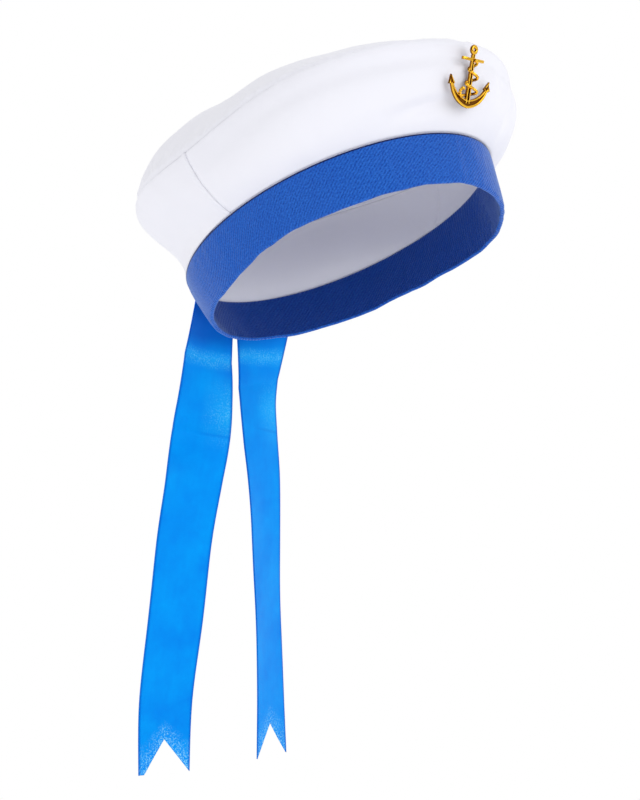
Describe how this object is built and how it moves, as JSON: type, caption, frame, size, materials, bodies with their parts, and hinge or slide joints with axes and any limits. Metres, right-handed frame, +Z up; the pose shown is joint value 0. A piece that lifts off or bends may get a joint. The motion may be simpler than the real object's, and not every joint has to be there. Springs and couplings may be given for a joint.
{
  "type": "sailor cap",
  "caption": "Soft round cap with a puffed white crown on a blue satin headband, long swallow-tailed azure ribbons at the back and a gold anchor badge at the front.",
  "frame": {"origin": "centre of the head opening, at the lower edge of the headband, where the cap sits on a head", "axes": "+Z up with the cap as worn, leaned back 28.5 degrees, the ribbons hanging down along -Z; the badge and the front of the cap towards -Y; the wearer's left towards +X"},
  "size_m": [0.222, 0.2381, 0.4568],
  "materials": {
    "white_cloth": "matt white woven cloth, soft with a slight sheen",
    "blue_satin": "royal blue satin-faced twill with a soft sheen",
    "azure_satin": "bright azure satin ribbon with woven edges",
    "gold": "polished gold-coloured cast metal"
  },
  "bodies": {
    "root": {"crown_top": "white_cloth", "crown_front_panel": "white_cloth", "crown_back_panel": "white_cloth", "headband": "blue_satin", "ribbon_right": "azure_satin", "ribbon_left": "azure_satin", "anchor_badge": "gold", "badge_clutch": "gold"}
  },
  "joints": []
}
